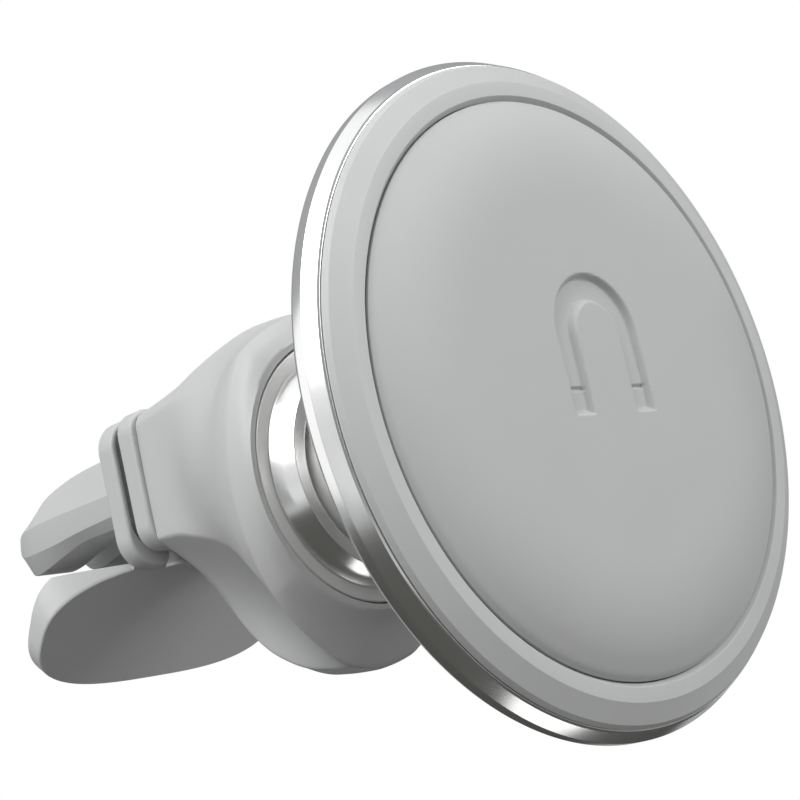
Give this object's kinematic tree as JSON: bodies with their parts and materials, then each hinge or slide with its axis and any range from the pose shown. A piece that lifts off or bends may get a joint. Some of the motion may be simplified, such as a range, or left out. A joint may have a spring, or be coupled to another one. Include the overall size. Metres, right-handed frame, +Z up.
{
  "type": "car phone mount",
  "caption": "Magnetic car phone mount with a round soft-faced head on a ball joint and a rubber-jawed clip with a support foot for an air-vent slat.",
  "frame": {"origin": "middle of the face of the clip base against which the edge of the vent slat seats, on the centre line of the head", "axes": "+Z up, -Y from the vent towards the phone, +X to the right for someone who faces the phone side; the part is symmetric about the YZ plane"},
  "size_m": [0.041, 0.0528, 0.041],
  "materials": {
    "shell_plastic": "silver-grey paint-like moulded plastic, fine spark-eroded grain",
    "pad_silicone": "soft silver-grey silicone, matt",
    "bright_chrome": "bright plated zinc, mirror finish",
    "satin_silver": "satin turned aluminium",
    "steel": "plain machined steel",
    "nickel": "nickel-plated rare-earth magnet",
    "nylon": "natural low-friction nylon",
    "dark_rubber": "dark grey rubber",
    "jaw_rubber": "silver-grey gripping rubber"
  },
  "bodies": {
    "base": {"socket_collar": "bright_chrome", "socket_ring": "satin_silver", "front_liner": "nylon", "seat_cup": "nylon", "spring_washer": "steel", "housing": "shell_plastic", "neck_isolator": "dark_rubber", "clip_base": "shell_plastic", "foot_pad": "dark_rubber", "clip_screw_1": "steel", "clip_screw_2": "steel", "jaw_upper_right": "jaw_rubber", "jaw_pin_upper_right": "steel", "jaw_upper_left": "jaw_rubber", "jaw_pin_upper_left": "steel", "jaw_lower_right": "jaw_rubber", "jaw_pin_lower_right": "steel", "jaw_lower_left": "jaw_rubber", "jaw_pin_lower_left": "steel"},
    "ball_body": {"ball": "satin_silver"},
    "stem_body": {"ball_stem": "satin_silver"},
    "head": {"face_pad": "pad_silicone", "head_shell": "shell_plastic", "trim_ring": "bright_chrome", "back_cover": "satin_silver", "magnet_carrier": "dark_rubber", "yoke_plate": "steel", "stem_screw": "steel", "magnet_1": "nickel", "magnet_2": "nickel", "magnet_3": "nickel", "magnet_4": "nickel", "magnet_5": "nickel", "magnet_6": "nickel", "head_screw_1": "steel", "head_screw_2": "steel", "head_screw_3": "steel"}
  },
  "joints": [
    {"name": "pan", "type": "hinge", "parent": "base", "child": "ball_body", "pos_m": [0, -0.0185, 0], "axis": [0, 0, 1], "range_deg": [-25, 25]},
    {"name": "tilt", "type": "hinge", "parent": "ball_body", "child": "stem_body", "pos_m": [0, -0.0185, 0], "axis": [1, 0, 0], "range_deg": [-25, 25]},
    {"name": "spin", "type": "hinge", "parent": "stem_body", "child": "head", "pos_m": [0, -0.0185, 0], "axis": [0, 1, 0], "continuous": true}
  ]
}
